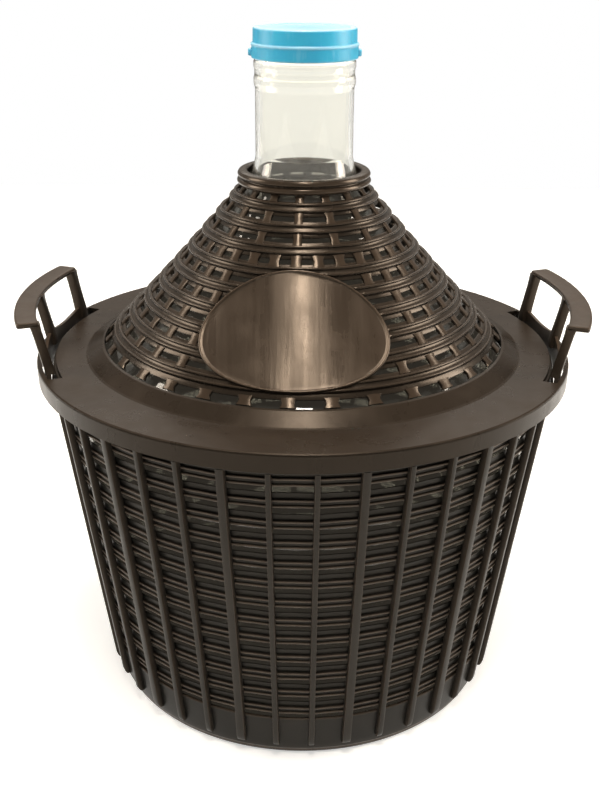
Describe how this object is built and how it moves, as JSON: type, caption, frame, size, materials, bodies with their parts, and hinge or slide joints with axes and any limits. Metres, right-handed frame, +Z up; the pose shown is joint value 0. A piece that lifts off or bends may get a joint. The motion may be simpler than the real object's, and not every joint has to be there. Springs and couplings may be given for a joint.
{
  "type": "glass carboy",
  "caption": "Wide-mouth glass demijohn in a ventilated dark plastic basket with a stepped conical lift-off cover, two side handles and a blue snap cap.",
  "frame": {"origin": "centre of the basket's base, on the surface the carboy stands on", "axes": "+Z up along the neck, -Y towards the label plate, +X and -X towards the handles"},
  "size_m": [0.522, 0.49, 0.6115],
  "materials": {
    "basket_plastic": "dark brown-black moulded polyethylene, satin",
    "cover_plastic": "dark brown-black moulded polyethylene, soft sheen",
    "handle_plastic": "dark brown-black moulded polyethylene, satin",
    "bottle_glass": "clear glass with a faint green tint at the edges",
    "cap_plastic": "light blue polyethylene, soft gloss"
  },
  "bodies": {
    "basket": {"basket_base": "basket_plastic", "basket_hoops": "basket_plastic", "basket_ribs": "basket_plastic", "basket_rim": "basket_plastic"},
    "carboy": {"carboy_neck": "bottle_glass", "carboy_shoulder": "bottle_glass", "carboy_belly": "bottle_glass", "carboy_foot": "bottle_glass"},
    "cover": {"cover_cone": "cover_plastic", "label_plate": "cover_plastic", "cover_flange": "cover_plastic", "left_handle": "handle_plastic", "right_handle": "handle_plastic"},
    "cap": {"cap": "cap_plastic"}
  },
  "joints": [
    {"name": "carboy_lift", "type": "slide", "parent": "basket", "child": "carboy", "axis": [0, 0, 1], "range_m": [0, 0.36]},
    {"name": "cover_lift", "type": "slide", "parent": "carboy", "child": "cover", "axis": [0, 0, 1], "range_m": [0, 0.36]},
    {"name": "cap_lift", "type": "slide", "parent": "carboy", "child": "cap", "axis": [0, 0, 1], "range_m": [0, 0.16]}
  ]
}
